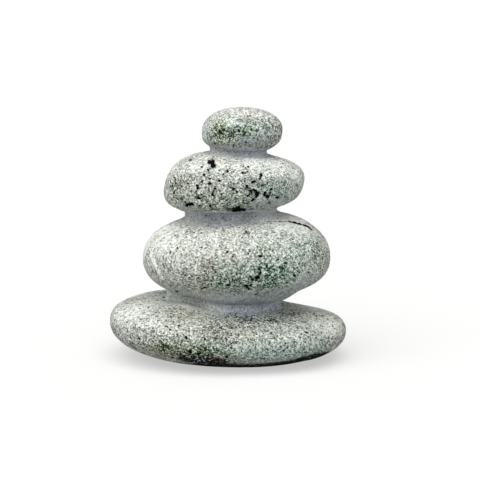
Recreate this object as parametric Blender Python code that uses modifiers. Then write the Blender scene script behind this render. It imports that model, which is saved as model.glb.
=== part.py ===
"""Stone cairn: four flattened pebbles, one on another, bonded by three beds of mortar.

Metres, +Z up, the front towards -Y. The origin is on the ground under the middle of the cairn.
A pebble is a cube primitive, subdivided and drawn onto a flattened, slightly lopsided egg shape.
A mortar bed is a turned spool with a hollow side, trimmed by the two pebbles that it joins.
"""

import math

import bmesh
import bpy
from mathutils import Vector

GAP = 0.0003  # between a mortar bed and the pebbles on both sides of it
OUTLINE_ROUNDNESS = 2.2  # exponent of the pebbles' outline seen from above: 2 is an ellipse
SPOOL_SEGMENTS = 32
SPOOL_STEPS = 6
MERGE_DISTANCE = 0.00001

# A pebble's centre is in the middle of its widest level. "rise" and "drop" are its heights above and below
# that level, and their roundness is 2 for an ellipse and more for a flatter crown or belly. "lean" tips the
# pebble to the left, in degrees, so that its right end rises. "shear" slides the crown to the right over
# the belly, and "taper" thickens the right end, or the left one where it is negative. "lumps" are swellings
# of (azimuth, elevation, spread, height), in degrees and metres, or hollows where the height is negative.
PEBBLES = {
    "base_stone": {
        "centre": (0.0, 0.0, 0.0312),
        "half_width": 0.1194,
        "half_depth": 0.1025,
        "rise": 0.0233,
        "rise_roundness": 3.0,
        "drop": 0.0358,
        "drop_roundness": 2.2,
        "lean": -2.8,
        "shear": -0.015,
        "taper": -0.077,
        "lumps": [(115, 10, 40, 0.0022), (60, 5, 30, -0.0030), (150, 52, 26, 0.0025), (10, 35, 20, 0.0014)],
        "grid": 14,
        "colour": (0.46, 0.49, 0.45),
    },
    "second_stone": {
        "centre": (0.0089, 0.0, 0.0991),
        "half_width": 0.0945,
        "half_depth": 0.0812,
        "rise": 0.0469,
        "rise_roundness": 2.34,
        "drop": 0.0399,
        "drop_roundness": 2.14,
        "lean": 1.5,
        "shear": -0.033,
        "taper": 0.054,
        "lumps": [(70, 0, 36, 0.0025), (120, 10, 30, -0.0022), (175, 48, 22, 0.0022), (5, 62, 18, 0.0022)],
        "grid": 13,
        "colour": (0.50, 0.53, 0.49),
    },
    "third_stone": {
        "centre": (0.0066, 0.0, 0.1763),
        "half_width": 0.0696,
        "half_depth": 0.0590,
        "rise": 0.0303,
        "rise_roundness": 2.6,
        "drop": 0.0272,
        "drop_roundness": 3.0,
        "lean": -0.25,
        "shear": 0.24,
        "taper": -0.128,
        "lumps": [
            (105, -5, 34, -0.0020),
            (55, 10, 30, 0.0020),
            (185, 52, 22, 0.0018),
            (350, -50, 22, 0.0014),
        ],
        "grid": 11,
        "colour": (0.47, 0.50, 0.46),
    },
    "top_stone": {
        "centre": (0.0145, 0.0, 0.2292),
        "half_width": 0.0403,
        "half_depth": 0.0346,
        "rise": 0.0232,
        "rise_roundness": 2.21,
        "drop": 0.0199,
        "drop_roundness": 2.97,
        "lean": -1.6,
        "shear": 0.071,
        "taper": -0.015,
        "lumps": [(80, 0, 36, 0.0012), (140, 20, 30, -0.0010)],
        "grid": 9,
        "colour": (0.44, 0.47, 0.43),
    },
}

# A bed's half_width and half_depth are those of its waist, halfway up. Its side flares out by "flare" at
# half_height above and below the waist, before the pebbles cut it off.
MORTAR_BEDS = {
    "lower_mortar_bed": {
        "joins": ("base_stone", "second_stone"),
        "centre": (-0.0038, 0.0, 0.0620),
        "half_width": 0.0605,
        "half_depth": 0.0520,
        "half_height": 0.0170,
        "flare": 0.0190,
        "lean": -5.4,
    },
    "middle_mortar_bed": {
        "joins": ("second_stone", "third_stone"),
        "centre": (0.0030, 0.0, 0.1470),
        "half_width": 0.0460,
        "half_depth": 0.0395,
        "half_height": 0.0130,
        "flare": 0.0150,
        "lean": 4.1,
    },
    "upper_mortar_bed": {
        "joins": ("third_stone", "top_stone"),
        "centre": (0.0105, 0.0, 0.2090),
        "half_width": 0.0285,
        "half_depth": 0.0245,
        "half_height": 0.0065,
        "flare": 0.0055,
        "lean": -1.5,
    },
}

MORTAR_COLOUR = (0.26, 0.28, 0.29)
ROUGHNESS = 0.9


def clear_scene():
    for old in list(bpy.data.objects):
        bpy.data.objects.remove(old)


def new_collection(name):
    collection = bpy.data.collections.new(name)
    bpy.context.scene.collection.children.link(collection)
    return collection


def new_material(name, colour):
    material = bpy.data.materials.new(name)
    material.use_nodes = True
    shader = material.node_tree.nodes["Principled BSDF"]
    shader.inputs["Base Color"].default_value = (*colour, 1.0)
    shader.inputs["Roughness"].default_value = ROUGHNESS
    shader.inputs["Metallic"].default_value = 0.0
    return material


def new_object(name, bm, collection):
    mesh = bpy.data.meshes.new(name)
    bm.to_mesh(mesh)
    bm.free()
    made = bpy.data.objects.new(name, mesh)
    collection.objects.link(made)
    return made


def set_down(made, spec):
    made.location = spec["centre"]
    made.rotation_euler.y = -math.radians(spec["lean"])


def hide_cutter(cutter):
    cutter.hide_render = True
    cutter.display_type = "WIRE"


def cut_away(made, cutter):
    cut = made.modifiers.new("cut by " + cutter.name, "BOOLEAN")
    cut.operation = "DIFFERENCE"
    cut.solver = "EXACT"
    cut.object = cutter


def direction(azimuth, elevation):
    around = math.radians(azimuth)
    up = math.radians(elevation)
    return Vector((math.cos(around) * math.cos(up), math.sin(around) * math.cos(up), math.sin(up)))


def pebble_point(spec, outwards):
    """Where a point of the unit sphere ends up on the pebble, before its lumps."""
    side = "rise" if outwards.z > 0 else "drop"
    roundness = spec[side + "_roundness"]
    powers = abs(outwards.x) ** OUTLINE_ROUNDNESS + abs(outwards.y) ** OUTLINE_ROUNDNESS
    level = powers ** (1 / OUTLINE_ROUNDNESS)
    reach = (level**roundness + abs(outwards.z) ** roundness) ** (-1 / roundness)
    x = outwards.x * spec["half_width"] * reach
    y = outwards.y * spec["half_depth"] * reach
    z = outwards.z * spec[side] * reach * (1 + spec["taper"] * x / spec["half_width"])
    return Vector((x + spec["shear"] * z, y, z))


def lump_height(spec, outwards):
    height = 0.0
    for azimuth, elevation, spread, peak in spec["lumps"]:
        away = outwards.angle(direction(azimuth, elevation)) / math.radians(spread)
        height += peak * math.exp(-away * away)
    return height


def pebble(name, spec, collection, grown_by=0.0):
    bm = bmesh.new()
    bmesh.ops.create_cube(bm, size=2.0)
    bmesh.ops.subdivide_edges(bm, edges=bm.edges[:], cuts=spec["grid"] - 1, use_grid_fill=True)
    swelling = {}
    for vertex in bm.verts:
        on_cube = Vector(math.tan(offset * math.pi / 4) for offset in vertex.co)  # evens out the grid
        outwards = on_cube.normalized()
        swelling[vertex] = lump_height(spec, outwards)
        vertex.co = pebble_point(spec, outwards)
    bm.normal_update()
    for vertex, height in swelling.items():
        vertex.co += vertex.normal * (height + grown_by)
    stone = new_object(name, bm, collection)
    stone.data.shade_smooth()
    set_down(stone, spec)
    return stone


def ground_cutter(collection):
    """A block whose top is the ground, which leaves the base stone a flat face to stand on."""
    bm = bmesh.new()
    bmesh.ops.create_cube(bm, size=1.0)
    ground = new_object("ground", bm, collection)
    ground.location.z = -0.5
    hide_cutter(ground)
    return ground


def spool(name, spec, collection):
    """A solid turned about its upright axis, with a hollow side, stretched to the bed's oval outline."""
    bm = bmesh.new()
    profile = [(0.0, spec["half_height"])]
    for step in range(SPOOL_STEPS + 1):
        height = 1 - 2 * step / SPOOL_STEPS
        profile.append((spec["half_width"] + spec["flare"] * height**2, spec["half_height"] * height))
    profile.append((0.0, -spec["half_height"]))
    corners = [bm.verts.new((radius, 0.0, height)) for radius, height in profile]
    for pair in zip(corners, corners[1:]):
        bm.edges.new(pair)
    bed = new_object(name, bm, collection)
    turn = bed.modifiers.new("turn", "SCREW")
    turn.axis = "Z"
    turn.steps = SPOOL_SEGMENTS
    turn.render_steps = SPOOL_SEGMENTS
    turn.use_merge_vertices = True
    turn.merge_threshold = MERGE_DISTANCE
    bed.scale.y = spec["half_depth"] / spec["half_width"]
    set_down(bed, spec)
    return bed


def main():
    clear_scene()
    parts = new_collection("stone_cairn")
    cutters = new_collection("cutters")
    grown = {}
    for name, spec in PEBBLES.items():
        stone = pebble(name, spec, parts)
        stone.data.materials.append(new_material(name, spec["colour"]))
        grown[name] = pebble(name + "_cutter", spec, cutters, grown_by=GAP)
        hide_cutter(grown[name])
    cut_away(parts.objects["base_stone"], ground_cutter(cutters))
    for name, spec in MORTAR_BEDS.items():
        bed = spool(name, spec, parts)
        bed.data.materials.append(new_material(name, MORTAR_COLOUR))
        for neighbour in spec["joins"]:
            cut_away(bed, grown[neighbour])


main()
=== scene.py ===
import math

import bmesh
import bpy
import numpy as np
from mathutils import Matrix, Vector
from mathutils.bvhtree import BVHTree


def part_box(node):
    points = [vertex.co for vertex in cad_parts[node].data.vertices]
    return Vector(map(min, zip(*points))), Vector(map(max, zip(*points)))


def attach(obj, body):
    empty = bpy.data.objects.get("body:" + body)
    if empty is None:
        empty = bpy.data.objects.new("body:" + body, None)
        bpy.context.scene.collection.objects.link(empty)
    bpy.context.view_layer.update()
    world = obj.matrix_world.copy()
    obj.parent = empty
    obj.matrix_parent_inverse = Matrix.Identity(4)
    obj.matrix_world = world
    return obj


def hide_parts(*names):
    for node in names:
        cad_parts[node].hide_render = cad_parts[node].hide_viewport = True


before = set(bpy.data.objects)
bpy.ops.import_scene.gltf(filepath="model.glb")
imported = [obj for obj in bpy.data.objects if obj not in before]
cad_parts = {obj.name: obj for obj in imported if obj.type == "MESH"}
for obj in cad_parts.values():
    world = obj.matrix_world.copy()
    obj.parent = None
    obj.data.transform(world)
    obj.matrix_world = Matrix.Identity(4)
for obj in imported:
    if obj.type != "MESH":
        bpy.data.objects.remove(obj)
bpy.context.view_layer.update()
mm = 0.001


# A wire is one output socket, and arithmetic on it adds Math or Vector Math nodes.
class Wire:
    def __init__(self, graph, socket):
        self.graph = graph
        self.socket = socket

    def part(self, name):  # X, Y or Z
        return self.graph.add("ShaderNodeSeparateXYZ", None, [self], name)

    def other(self, name):  # another output of the same node
        return Wire(self.graph, pickSocket(self.socket.node.outputs, name))

    def calculate(self, operation, *terms):
        if any(isVector(term) for term in terms):
            return self.graph.add("ShaderNodeVectorMath", {"operation": operation}, list(terms))
        return self.graph.add("ShaderNodeMath", {"operation": operation}, list(terms))

    def __add__(self, term):
        return self.calculate("ADD", self, term)

    def __radd__(self, term):
        return self.calculate("ADD", term, self)

    def __sub__(self, term):
        return self.calculate("SUBTRACT", self, term)

    def __rsub__(self, term):
        return self.calculate("SUBTRACT", term, self)

    def __mul__(self, term):
        return self.calculate("MULTIPLY", self, term)

    def __rmul__(self, term):
        return self.calculate("MULTIPLY", term, self)

    def __truediv__(self, term):
        return self.calculate("DIVIDE", self, term)

    def __rtruediv__(self, term):
        return self.calculate("DIVIDE", term, self)

    def __pow__(self, term):
        return self.calculate("POWER", self, term)

    def __neg__(self):
        return self.calculate("MULTIPLY", self, -1.0)

    def __abs__(self):
        return self.calculate("ABSOLUTE", self)

    def least(self, term):
        return self.calculate("MINIMUM", self, term)

    def most(self, term):
        return self.calculate("MAXIMUM", self, term)

    def over(self, term):
        return self.calculate("GREATER_THAN", self, term)

    def length(self):
        return self.calculate("LENGTH", self)

    def sine(self):
        return self.calculate("SINE", self)

    def cosine(self):
        return self.calculate("COSINE", self)

    def tangent(self):
        return self.calculate("TANGENT", self)

    def direction(self):
        return self.calculate("NORMALIZE", self)

    def rise(self, low, high):  # 0 below low, 1 above high, smooth between
        settings = {"interpolation_type": "SMOOTHSTEP"}
        values = {"Value": self, "From Min": low, "From Max": high, "To Min": 0.0, "To Max": 1.0}
        return self.graph.add("ShaderNodeMapRange", settings, values)

    def fall(self, low, high):  # the other way round
        return 1.0 - self.rise(low, high)


def isVector(term):
    if isinstance(term, Wire):
        return term.socket.type == "VECTOR"
    return isinstance(term, (tuple, Vector))


def pickSocket(sockets, name):
    if isinstance(name, int):
        return sockets[name]
    return next(socket for socket in sockets if socket.name == name and socket.enabled)


class Graph:
    def __init__(self, tree):
        self.tree = tree

    def add(self, kind, settings=None, values=None, output=None):  # a node, set first and then fed
        node = self.tree.nodes.new(kind)
        for name, value in (settings or {}).items():
            if name == "stops":
                setStops(node.color_ramp, value)
            else:
                setattr(node, name, value)
        given = enumerate(values) if isinstance(values, list) else (values or {}).items()
        for name, value in given:
            self.feed(pickSocket(node.inputs, name), value)
        if not node.outputs:
            return node
        if output is None:
            return Wire(self, next(socket for socket in node.outputs if socket.enabled))
        return Wire(self, pickSocket(node.outputs, output))

    def feed(self, socket, value):
        if isinstance(value, Wire):
            self.tree.links.new(value.socket, socket)
            return
        if socket.type == "VECTOR" and isinstance(value, (int, float)):
            value = (value, value, value)
        if socket.type == "RGBA" and len(value) == 3:
            value = (*value, 1.0)
        socket.default_value = value

    def noise(self, place, width, detail=2.0, roughness=0.5, seed=0.0, output="Fac"):  # width is its period
        values = {"Vector": place / width + (seed, seed * 0.7, -seed), "Scale": 1.0, "Detail": detail}
        values["Roughness"] = roughness
        return self.add("ShaderNodeTexNoise", None, values, output)

    def cells(self, place, width, seed=0.0, feature="F1", output="Color"):
        values = {"Vector": place / width + (seed, -seed, seed * 0.4), "Scale": 1.0}
        return self.add("ShaderNodeTexVoronoi", {"feature": feature}, values, output)

    def mix(self, amount, first, second, blend="MIX"):
        settings = {"data_type": "RGBA", "blend_type": blend}
        return self.add("ShaderNodeMix", settings, {"Factor": amount, "A": first, "B": second}, "Result")


def setStops(ramp, stops):
    while len(ramp.elements) < len(stops):
        ramp.elements.new(1.0)
    for element, (where, colour) in zip(ramp.elements, stops):
        element.position = where
        element.color = (*colour, 1.0)


def newGeometryTree(name, inputs):  # inputs are labels by kind of socket
    tree = bpy.data.node_groups.new(name, "GeometryNodeTree")
    tree.interface.new_socket("Geometry", in_out="INPUT", socket_type="NodeSocketGeometry")
    tree.interface.new_socket("Geometry", in_out="OUTPUT", socket_type="NodeSocketGeometry")
    for kind, labels in inputs.items():
        for label in labels:
            tree.interface.new_socket(label, in_out="INPUT", socket_type="NodeSocket" + kind)
    graph = Graph(tree)
    source = tree.nodes.new("NodeGroupInput")
    wires = {socket.name: Wire(graph, socket) for socket in source.outputs if socket.name}
    return graph, wires


def growSkin(seed, tree, values):  # runs a tree on an object and returns the result as a plain mesh
    modifier = seed.modifiers.new(tree.name, "NODES")
    modifier.node_group = tree
    for item in tree.interface.items_tree:
        if item.in_out == "INPUT" and item.name in values:
            modifier[item.identifier] = values[item.name]
    evaluated = seed.evaluated_get(bpy.context.evaluated_depsgraph_get())
    mesh = bpy.data.meshes.new_from_object(evaluated)
    seed.modifiers.remove(modifier)
    bpy.data.objects.remove(seed)
    return mesh


def newPiece(name, mesh):
    piece = bpy.data.objects.new(name, mesh)
    mesh.name = name
    bpy.context.scene.collection.objects.link(piece)
    return piece


def mergedCopy(nodeName):  # a CAD node's loose triangles, joined and turned back into quads
    bm = bmesh.new()
    bm.from_mesh(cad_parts[nodeName].data)
    bmesh.ops.remove_doubles(bm, verts=bm.verts[:], dist=0.01 * mm)
    bmesh.ops.join_triangles(
        bm, faces=bm.faces[:], angle_face_threshold=math.radians(40), angle_shape_threshold=math.radians(60)
    )
    mesh = bpy.data.meshes.new(nodeName + " core")
    bm.to_mesh(mesh)
    bm.free()
    return newPiece(nodeName + " core", mesh)


pitSizes = ["Pit Spacing", "Pit Density", "Pit Least", "Pit Most"]


def pitValues(look):
    least, most = look["pitSize"]
    values = (look["pitSpacing"] * mm, look["pitDensity"], least * mm, most * mm)
    return {**dict(zip(pitSizes, values)), "Seed": look["seed"]}


def scatterPits(graph, geometry, inputs, keep):  # each point's offset from its nearest small pit, in pit radii
    scatter = {
        "Mesh": geometry,
        "Distance Min": inputs["Pit Spacing"],
        "Density Max": inputs["Pit Density"],
        "Density Factor": keep,
        "Seed": inputs["Seed"],
    }
    settings = {"distribute_method": "POISSON"}
    points = graph.add("GeometryNodeDistributePointsOnFaces", settings, scatter, "Points")
    chance = {"Min": 0.0, "Max": 1.0, "Seed": 7}
    share = graph.add("FunctionNodeRandomValue", {"data_type": "FLOAT"}, chance, "Value")
    size = inputs["Pit Least"] + (inputs["Pit Most"] - inputs["Pit Least"]) * share**3.0
    here = graph.add("GeometryNodeInputPosition")
    nearest = graph.add("GeometryNodeSampleNearest", None, {"Geometry": points})
    nearby = []
    for kind, value in (("FLOAT_VECTOR", here), ("FLOAT", size)):
        sample = {"Geometry": points, "Value": value, "Index": nearest}
        nearby.append(graph.add("GeometryNodeSampleIndex", {"data_type": kind}, sample))
    where, radius = nearby[0], nearby[1] * keep.most(0.05)
    return (here - where) / radius, radius / mm


def store(graph, geometry, name, value, kind="FLOAT"):
    settings = {"data_type": kind, "domain": "POINT"}
    values = {"Geometry": geometry, "Name": name, "Value": value}
    return graph.add("GeometryNodeStoreNamedAttribute", settings, values)


def named(graph, name, kind="FLOAT"):
    return graph.add("GeometryNodeInputNamedAttribute", {"data_type": kind}, {"Name": name})


def shift(graph, geometry, offset):
    return graph.add("GeometryNodeSetPosition", None, {"Geometry": geometry, "Offset": offset})


def closeTree(graph, body, material):
    body = graph.add("GeometryNodeSetShadeSmooth", None, {"Geometry": body})
    body = graph.add("GeometryNodeRealizeInstances", None, {"Geometry": body})
    body = graph.add("GeometryNodeSetMaterial", None, {"Geometry": body, "Material": material})
    graph.add("NodeGroupOutput", None, {"Geometry": body})
    return graph.tree


def pebbleSkinTree():  # a round grid laid on the smoothed core, then lumps, mortar, grain and small pits
    graph, inputs = newGeometryTree("pebble skin", {
        "Int": ["Cells Across", "Cells Deep", "Cells Tall", "Seed"],
        "Vector": ["Centre", "Reach"],
        "Float": [
            "Lump Height", "Lump Width", "Grain Height", "Grain Width",
            "Smear Below", "Smear Above", "Smear Thickness", "Lip Thickness", *pitSizes,
        ],
        "Object": ["Bed Below", "Bed Above"],
        "Material": ["Stone"],
    })
    core = graph.add("GeometryNodeSubdivisionSurface", None, {"Mesh": inputs["Geometry"], "Level": 3})
    sides = {
        "Size": (2.0, 2.0, 2.0),
        "Vertices X": inputs["Cells Across"] + 1.0,
        "Vertices Y": inputs["Cells Deep"] + 1.0,
        "Vertices Z": inputs["Cells Tall"] + 1.0,
    }
    cube = graph.add("GeometryNodeMeshCube", None, sides, "Mesh")
    here = graph.add("GeometryNodeInputPosition")
    normal = graph.add("GeometryNodeInputNormal", None, None, "Normal")
    outwards = (here * (math.pi / 4)).tangent().direction()  # even steps of angle
    outside = inputs["Centre"] + outwards * inputs["Reach"]
    ray = {"Target Geometry": core, "Source Position": outside, "Ray Direction": inputs["Centre"] - outside}
    hit = graph.add("GeometryNodeRaycast", None, ray, "Hit Position")
    body = graph.add("GeometryNodeSetPosition", None, {"Geometry": cube, "Position": hit})

    place = here / mm
    start = graph.add("ShaderNodeCombineXYZ", None, {"X": inputs["Seed"] * 17.3, "Y": inputs["Seed"] * -9.1})
    lump = graph.noise(place + start, inputs["Lump Width"] / mm, 3.0, 0.45) - 0.5
    offGround = here.part("Z").rise(0.3 * mm, 4.0 * mm)  # the ground face stays flat
    body = shift(graph, body, normal * (lump * 2.0 * inputs["Lump Height"] * offGround))

    smear = 0.0
    wander = (graph.noise(place + start, 14.0, 3.0) - 0.5) * 0.8  # the smear's ragged edge
    for bed, reach in (("Bed Below", "Smear Below"), ("Bed Above", "Smear Above")):
        info = graph.add("GeometryNodeObjectInfo", None, {"Object": inputs[bed]}, "Geometry")
        near = graph.add("GeometryNodeProximity", None, {"Geometry": info}, "Distance")
        share = near / inputs[reach].most(0.1 * mm)
        smear = (share + wander).fall(0.45, 1.0) * near.other("Is Valid") + smear
        if bed == "Bed Below":
            lip = share.fall(0.0, 0.75) * near.other("Is Valid")
    facing = ((here - inputs["Centre"]) * (1.0, 1.0, 0.0)).direction().part("X")
    lip = lip * facing.rise(-0.75, -0.25) * facing.other("Y").fall(-0.6, 0.0)  # at the front, middle to right
    body = store(graph, body, "smear", smear.least(1.0))
    body = store(graph, body, "dust", normal.part("Z").rise(0.1, 0.9))
    smear = named(graph, "smear")
    coat = smear * inputs["Smear Thickness"] * (0.6 + graph.noise(place + start, 6.0, 2.0) * 0.8)
    coat = coat + lip * inputs["Lip Thickness"]
    body = shift(graph, body, normal * (coat * offGround))

    keep = 1.0 - smear * 0.9
    rough = graph.noise(place + start, inputs["Grain Width"] / mm * 1.7, 2.0, 0.62) - 0.5
    dome = 0.45 - graph.cells(place, inputs["Grain Width"] / mm, 0.0, "F1", "Distance")
    relief = (rough * 1.4 + dome * 0.7) * keep * offGround
    body = shift(graph, body, normal * relief * inputs["Grain Height"])

    away, radius = scatterPits(graph, body, inputs, keep * offGround)
    body = store(graph, body, "pitAway", away, "FLOAT_VECTOR")
    body = store(graph, body, "pitSize", radius)
    return closeTree(graph, body, inputs["Stone"])


def readMesh(mesh, name, width=1):  # places, normals or a named value of every point
    source = mesh.vertices if name in ("co", "normal") else mesh.attributes[name].data
    values = np.zeros(len(mesh.vertices) * width, np.float32)
    source.foreach_get(name if name in ("co", "normal") else "vector" if width == 3 else "value", values)
    values = values.astype(float)
    return values.reshape(-1, width) if width > 1 else values


def writeMesh(mesh, name, values):
    isPlace = values.ndim == 2
    if name not in mesh.attributes:
        mesh.attributes.new(name, "FLOAT_VECTOR" if isPlace else "FLOAT", "POINT")
    data = mesh.attributes[name].data
    data.foreach_set("vector" if isPlace else "value", values.astype(np.float32).ravel())


def smoothFall(values, low, high):
    share = np.clip((values - low) / (high - low), 0.0, 1.0)
    return 1.0 - share * share * (3.0 - 2.0 * share)


def pathOffsets(points, path, widths):  # each point's offset from a path, how far that is, and the width there
    best, offsets, shares = np.full(len(points), 1.0), np.zeros_like(points), np.zeros(len(points))
    for step, (start, end) in enumerate(zip(path, path[1:])):
        along = end - start
        share = np.clip((points - start) @ along / (along @ along), 0.0, 1.0)
        offset = points - start - share[:, None] * along
        far = np.linalg.norm(offset, axis=1)
        closer = far < best
        best[closer], offsets[closer], shares[closer] = far[closer], offset[closer], share[closer] + step
    return offsets, best, np.interp(shares, range(len(widths)), widths)


turnedCopies = (180.0, 78.0, -78.0)  # degrees


def allRound(places, low, high):  # places on the front, and the turned copies of them that land at the back
    middle, half = (low + high) / 2 / mm, (high - low) / 2 / mm
    everywhere = list(places)
    for angle in turnedCopies:
        cosine, sine = math.cos(math.radians(angle)), math.sin(math.radians(angle))
        for x, y, z, *rest in places:
            across, back = (x - middle[0]) / half[0], (y - middle[1]) / half[1]
            across, back = across * cosine - back * sine, across * sine + back * cosine
            if back > 0.2:
                everywhere.append((middle[0] + across * half[0], middle[1] + back * half[1], z, *rest))
    return everywhere


def placedPits(look, low, high, onSkin):  # those with a place of their own, and each field's random ones
    rng = np.random.default_rng(look["seed"])
    pits = [(onSkin(pit[:3]), pit[3], pit[4]) for pit in allRound(look["pits"], low, high)]
    for x, y, z, width, height, count, least, most in allRound(look["pitFields"], low, high):
        for _ in range(count):
            across, back, upwards = rng.normal(0.0, 0.5, 3) * (width, height, height)
            size = least + (most - least) * rng.random() ** 2
            spot = onSkin((x + across, y + back, z + upwards))
            pits.append((spot, size * rng.uniform(0.85, 1.5), size * rng.uniform(0.7, 1.1)))
    return pits


def softSpot(points, spot, width, height):  # 1 at a spot, fading evenly around it
    offset = (points - spot) / mm / np.array([width, width, height])
    return np.exp(-(offset**2).sum(axis=1))


def placeMarks(mesh, look):  # the pits, cracks, veins, dents and coloured patches, some of them painted light and shade
    low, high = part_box(look["node"])
    points, normals = readMesh(mesh, "co", 3), readMesh(mesh, "normal", 3)
    tree = BVHTree.FromPolygons(points.tolist(), [tuple(face.vertices) for face in mesh.polygons])

    def onSkin(place):
        return np.array(tree.find_nearest(Vector(place) * mm)[0])

    away, size = readMesh(mesh, "pitAway", 3), readMesh(mesh, "pitSize")
    near = np.linalg.norm(away, axis=1)
    for spot, halfWidth, halfHeight in placedPits(look, low, high, onSkin):
        halfDepth = max(halfWidth, halfHeight) * look["pitStretch"]
        radii = np.array([halfWidth, halfDepth, halfHeight]) * mm * look["pitScale"]
        offset = (points - spot) / radii
        reach = np.linalg.norm(offset, axis=1)
        closer = reach < near
        away[closer], near[closer], size[closer] = offset[closer], reach[closer], min(halfWidth, halfHeight)
    sink = smoothFall(near, 0.5, 1.2) * size * mm * look["pitDepth"]

    for crack in look["cracks"]:
        path = [onSkin(place) for place in crack["path"]]
        offset, far, width = pathOffsets(points, path, crack["widths"])
        across = points[:, 0] / mm
        beads = np.sin(across * crack["shortBeads"]) + np.sin(across * crack["longBeads"] + 2.0)
        width = np.maximum(width * (1.0 + crack["unevenness"] * beads), 0.1)
        reach = far / (width * mm)
        closer = reach < near
        away[closer], near[closer] = offset[closer] / (width[closer, None] * mm), reach[closer]
        size[closer] = width[closer]
        sink = np.maximum(sink, smoothFall(far / mm, 0.2, 1.3) * width * mm)
        behind = 1.0 - smoothFall(offset[:, 1] / mm, -0.2, 0.8)
        step = crack["step"] * mm * np.clip(width, 0.0, 1.0)
        sink -= behind * smoothFall(far / mm, 1.0, crack["shelf"]) * step  # the stone stands higher behind it

    pale = np.zeros(len(points))
    for width, height, path in look["veins"]:
        offset, far, reach = pathOffsets(points, [onSkin(place) for place in path], [width] * len(path))
        crest = smoothFall(far / (width * mm), 0.2, 1.0)
        pale = np.maximum(pale, crest)
        sink -= crest * height * mm
    for x, y, z, width, height, depth in look["dents"]:
        sink += depth * mm * softSpot(points, onSkin((x, y, z)), width, height)
    # painted shadow round the stone's foot, up to a height given for each bearing
    bearings, heights = zip(*look["damp"])
    bearing = np.degrees(np.arctan2(points[:, 0], -points[:, 1]))
    damp = smoothFall(points[:, 2] / mm - np.interp(bearing, bearings, heights), -2.5, 2.5)

    mesh.vertices.foreach_set("co", (points - normals * sink[:, None]).astype(np.float32).ravel())
    writeMesh(mesh, "pitAway", away)
    writeMesh(mesh, "pitFar", near - 1.0 / size)
    writeMesh(mesh, "pale", pale)
    writeMesh(mesh, "damp", damp)
    for tint in ("film", "green", "cool", "soot", "brown", "bloom", "dull", "specks"):  # film adds to the smear
        cover = readMesh(mesh, "smear") if tint == "film" else np.zeros(len(points))
        for x, y, z, width, height, strength in allRound(look.get(tint, []), low, high):
            cover = np.maximum(cover, strength * softSpot(points, onSkin((x, y, z)), width, height))
        writeMesh(mesh, "smear" if tint == "film" else tint, cover)
    mesh.update()


def newMaterial(name):
    material = bpy.data.materials.new(name)
    material.use_nodes = True
    material.node_tree.nodes.clear()
    return material, Graph(material.node_tree)


def attribute(graph, name, output="Fac"):
    return graph.add("ShaderNodeAttribute", {"attribute_name": name}, None, output)


def channel(graph, colour, name):
    return graph.add("ShaderNodeSeparateColor", None, {"Color": colour}, name)


def pitReach(graph, place, roughness):  # 1 at a pit's rim, with the rim made uneven
    reach = attribute(graph, "pitAway", "Vector").length().most(attribute(graph, "pitFar"))
    ragged = graph.noise(place, 1.6, 2.0, 0.5, 9.1) + graph.noise(place, 3.2, 1.0, 0.5, 4.2) - 1.0
    return reach + ragged * roughness


weatheredGloss = 0.04  # weathered stone and mortar hardly shine


def finishMaterial(graph, colour, roughness, height, relief):
    normal = graph.add("ShaderNodeBump", None, {"Strength": 1.0, "Distance": relief, "Height": height})
    values = {"Base Color": colour, "Roughness": roughness, "Normal": normal}
    values["Specular IOR Level"] = weatheredGloss
    shader = graph.add("ShaderNodeBsdfPrincipled", None, values, "BSDF")
    graph.add("ShaderNodeOutputMaterial", None, {"Surface": shader})


cement = {
    "stops": [  # from the darkest sand to the palest
        (0.00, (0.085, 0.092, 0.097)),
        (0.30, (0.255, 0.276, 0.290)),
        (0.55, (0.385, 0.412, 0.430)),
        (0.80, (0.510, 0.535, 0.545)),
        (1.00, (0.690, 0.705, 0.700)),
    ],
    "dusty": (1.00, 0.990, 0.960),  # on faces that look up
    "tone": 0.55,
    "contrast": 1.25,
    "sand": (1.25, 0.45),  # width and share of each
    "grit": (1.1, 1.0),
    "cloud": (13.0, 0.5),
}


def cementColour(graph, place, sideShadeAndTint):  # bluish, then multiplied by a tint on the left, in the middle and on the right: partly colour, partly painted light and shade
    sand = channel(graph, graph.cells(place, cement["sand"][0], 3.3), "Red") - 0.5
    grit = graph.noise(place, cement["grit"][0], 2.0, 0.7, 8.2) - 0.5
    cloud = graph.noise(place, cement["cloud"][0], 3.0, 0.6, 3.1) - 0.5
    tone = cement["tone"] + sand * cement["contrast"] * cement["sand"][1]
    tone = tone + grit * cement["contrast"] * cement["grit"][1] + cloud * cement["cloud"][1]
    colour = graph.add("ShaderNodeValToRGB", {"stops": cement["stops"]}, {"Fac": tone}, "Color")
    across = place.part("X")
    tint = graph.mix(across.fall(*sideShadeAndTint["spans"][:2]), sideShadeAndTint["middle"], sideShadeAndTint["left"])
    tint = graph.mix(across.rise(*sideShadeAndTint["spans"][2:]), tint, sideShadeAndTint["right"])
    colour = graph.mix(1.0, colour, tint, "MULTIPLY")
    return graph.mix(attribute(graph, "dust"), colour, cement["dusty"], "MULTIPLY")


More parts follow.
